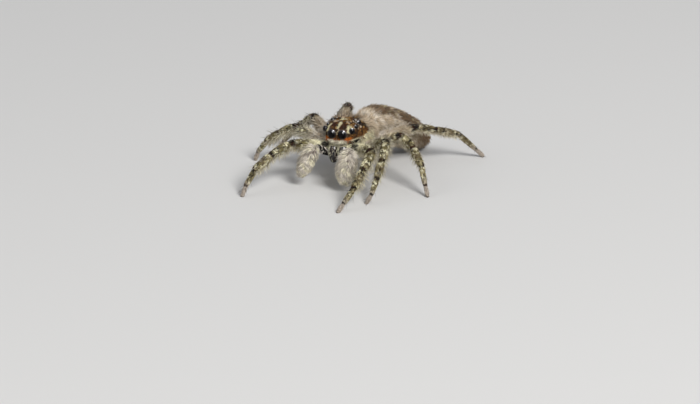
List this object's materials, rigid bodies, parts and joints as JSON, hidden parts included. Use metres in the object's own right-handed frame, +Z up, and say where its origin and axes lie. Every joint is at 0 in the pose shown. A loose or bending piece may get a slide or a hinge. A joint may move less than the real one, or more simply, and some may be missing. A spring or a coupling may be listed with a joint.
{
  "type": "jumping spider model",
  "caption": "Life-size still model of a jumping spider standing on its legs, with hairy feelers, large front eyes and its belly swung to one side.",
  "frame": {"origin": "on the floor, under the middle of the whole spider's box", "axes": "+Z up, -Y ahead of the head, +X to the spider's own left"},
  "size_m": [0.0126, 0.0132, 0.0037],
  "materials": {
    "eye": "polished black lens",
    "carapace_scales": "flat scale hairs, brown mottled with cream",
    "jaw_shell": "smooth dark shell",
    "belly_coat": "short pale hair with brown patches",
    "underside_hair": "thin grey-buff hair",
    "palp_hair": "long white hair",
    "leg_coat": "olive-cream hair with dark rings"
  },
  "bodies": {
    "root": {"eye_middle_front_left": "eye", "eye_side_front_left": "eye", "eye_tiny_left": "eye", "eye_rear_left": "eye", "eye_middle_front_right": "eye", "eye_side_front_right": "eye", "eye_tiny_right": "eye", "eye_rear_right": "eye", "carapace": "carapace_scales", "sternum": "underside_hair", "chelicera_left": "jaw_shell", "chelicera_right": "jaw_shell", "abdomen": "belly_coat", "pedicel": "underside_hair", "spinnerets": "underside_hair", "palp_left_femur": "palp_hair", "palp_left_tibia": "palp_hair", "palp_left_tarsus": "palp_hair", "palp_right_femur": "palp_hair", "palp_right_tibia": "palp_hair", "palp_right_tarsus": "palp_hair", "leg_left_1_coxa": "leg_coat", "leg_left_1_femur": "leg_coat", "leg_left_1_tibia": "leg_coat", "leg_left_1_tarsus": "leg_coat", "leg_left_2_coxa": "leg_coat", "leg_left_2_femur": "leg_coat", "leg_left_2_tibia": "leg_coat", "leg_left_2_tarsus": "leg_coat", "leg_left_3_coxa": "leg_coat", "leg_left_3_femur": "leg_coat", "leg_left_3_tibia": "leg_coat", "leg_left_3_tarsus": "leg_coat", "leg_left_4_coxa": "leg_coat", "leg_left_4_femur": "leg_coat", "leg_left_4_tibia": "leg_coat", "leg_left_4_tarsus": "leg_coat", "leg_right_1_coxa": "leg_coat", "leg_right_1_femur": "leg_coat", "leg_right_1_tibia": "leg_coat", "leg_right_1_tarsus": "leg_coat", "leg_right_2_coxa": "leg_coat", "leg_right_2_femur": "leg_coat", "leg_right_2_tibia": "leg_coat", "leg_right_2_tarsus": "leg_coat", "leg_right_3_coxa": "leg_coat", "leg_right_3_femur": "leg_coat", "leg_right_3_tibia": "leg_coat", "leg_right_3_tarsus": "leg_coat", "leg_right_4_coxa": "leg_coat", "leg_right_4_femur": "leg_coat", "leg_right_4_tibia": "leg_coat", "leg_right_4_tarsus": "leg_coat"}
  },
  "joints": []
}
